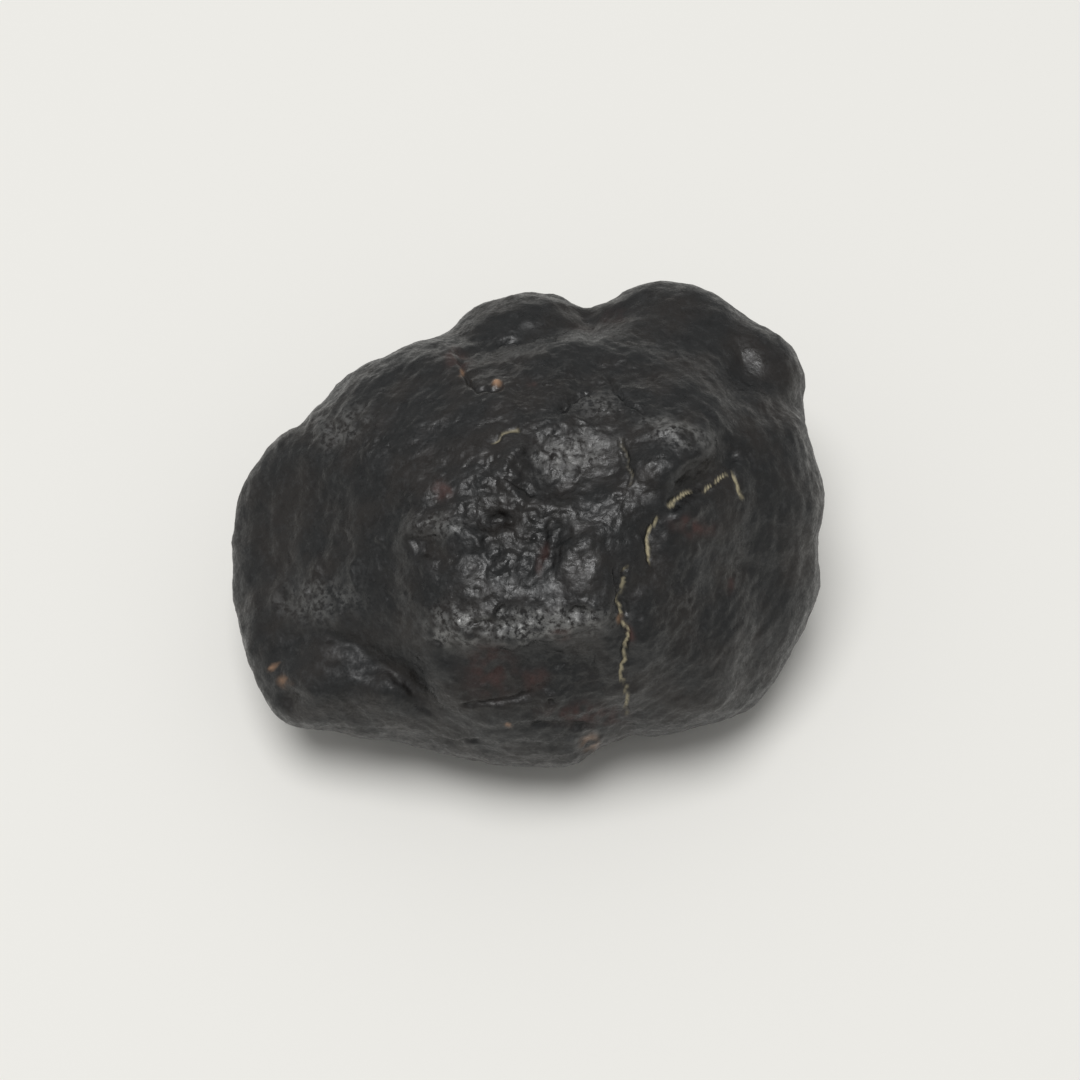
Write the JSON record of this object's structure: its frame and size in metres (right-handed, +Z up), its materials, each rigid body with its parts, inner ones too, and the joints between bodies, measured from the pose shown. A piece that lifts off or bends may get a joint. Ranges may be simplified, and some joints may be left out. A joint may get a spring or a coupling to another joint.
{
  "type": "iron meteorite",
  "caption": "Hand-sized lump of iron meteorite with a dark crust, lobes, a raised broken crest, hollows and grooves, and a small flat spot underneath that it rests on.",
  "frame": {"origin": "on the ground, under the middle of the stone's bounding box; the flat spot it rests on lies in the plane z = 0", "axes": "+X along the stone's long way, from its blunt nose to the cracked end; -Y towards its steep front face; +Z up as it rests"},
  "size_m": [0.1003, 0.0829, 0.0558],
  "materials": {
    "iron_crust": "near-black oxide crust with a dull iron shine, rust-brown stains and pale fill in its cracks"
  },
  "bodies": {
    "root": {"meteorite": "iron_crust"}
  },
  "joints": []
}
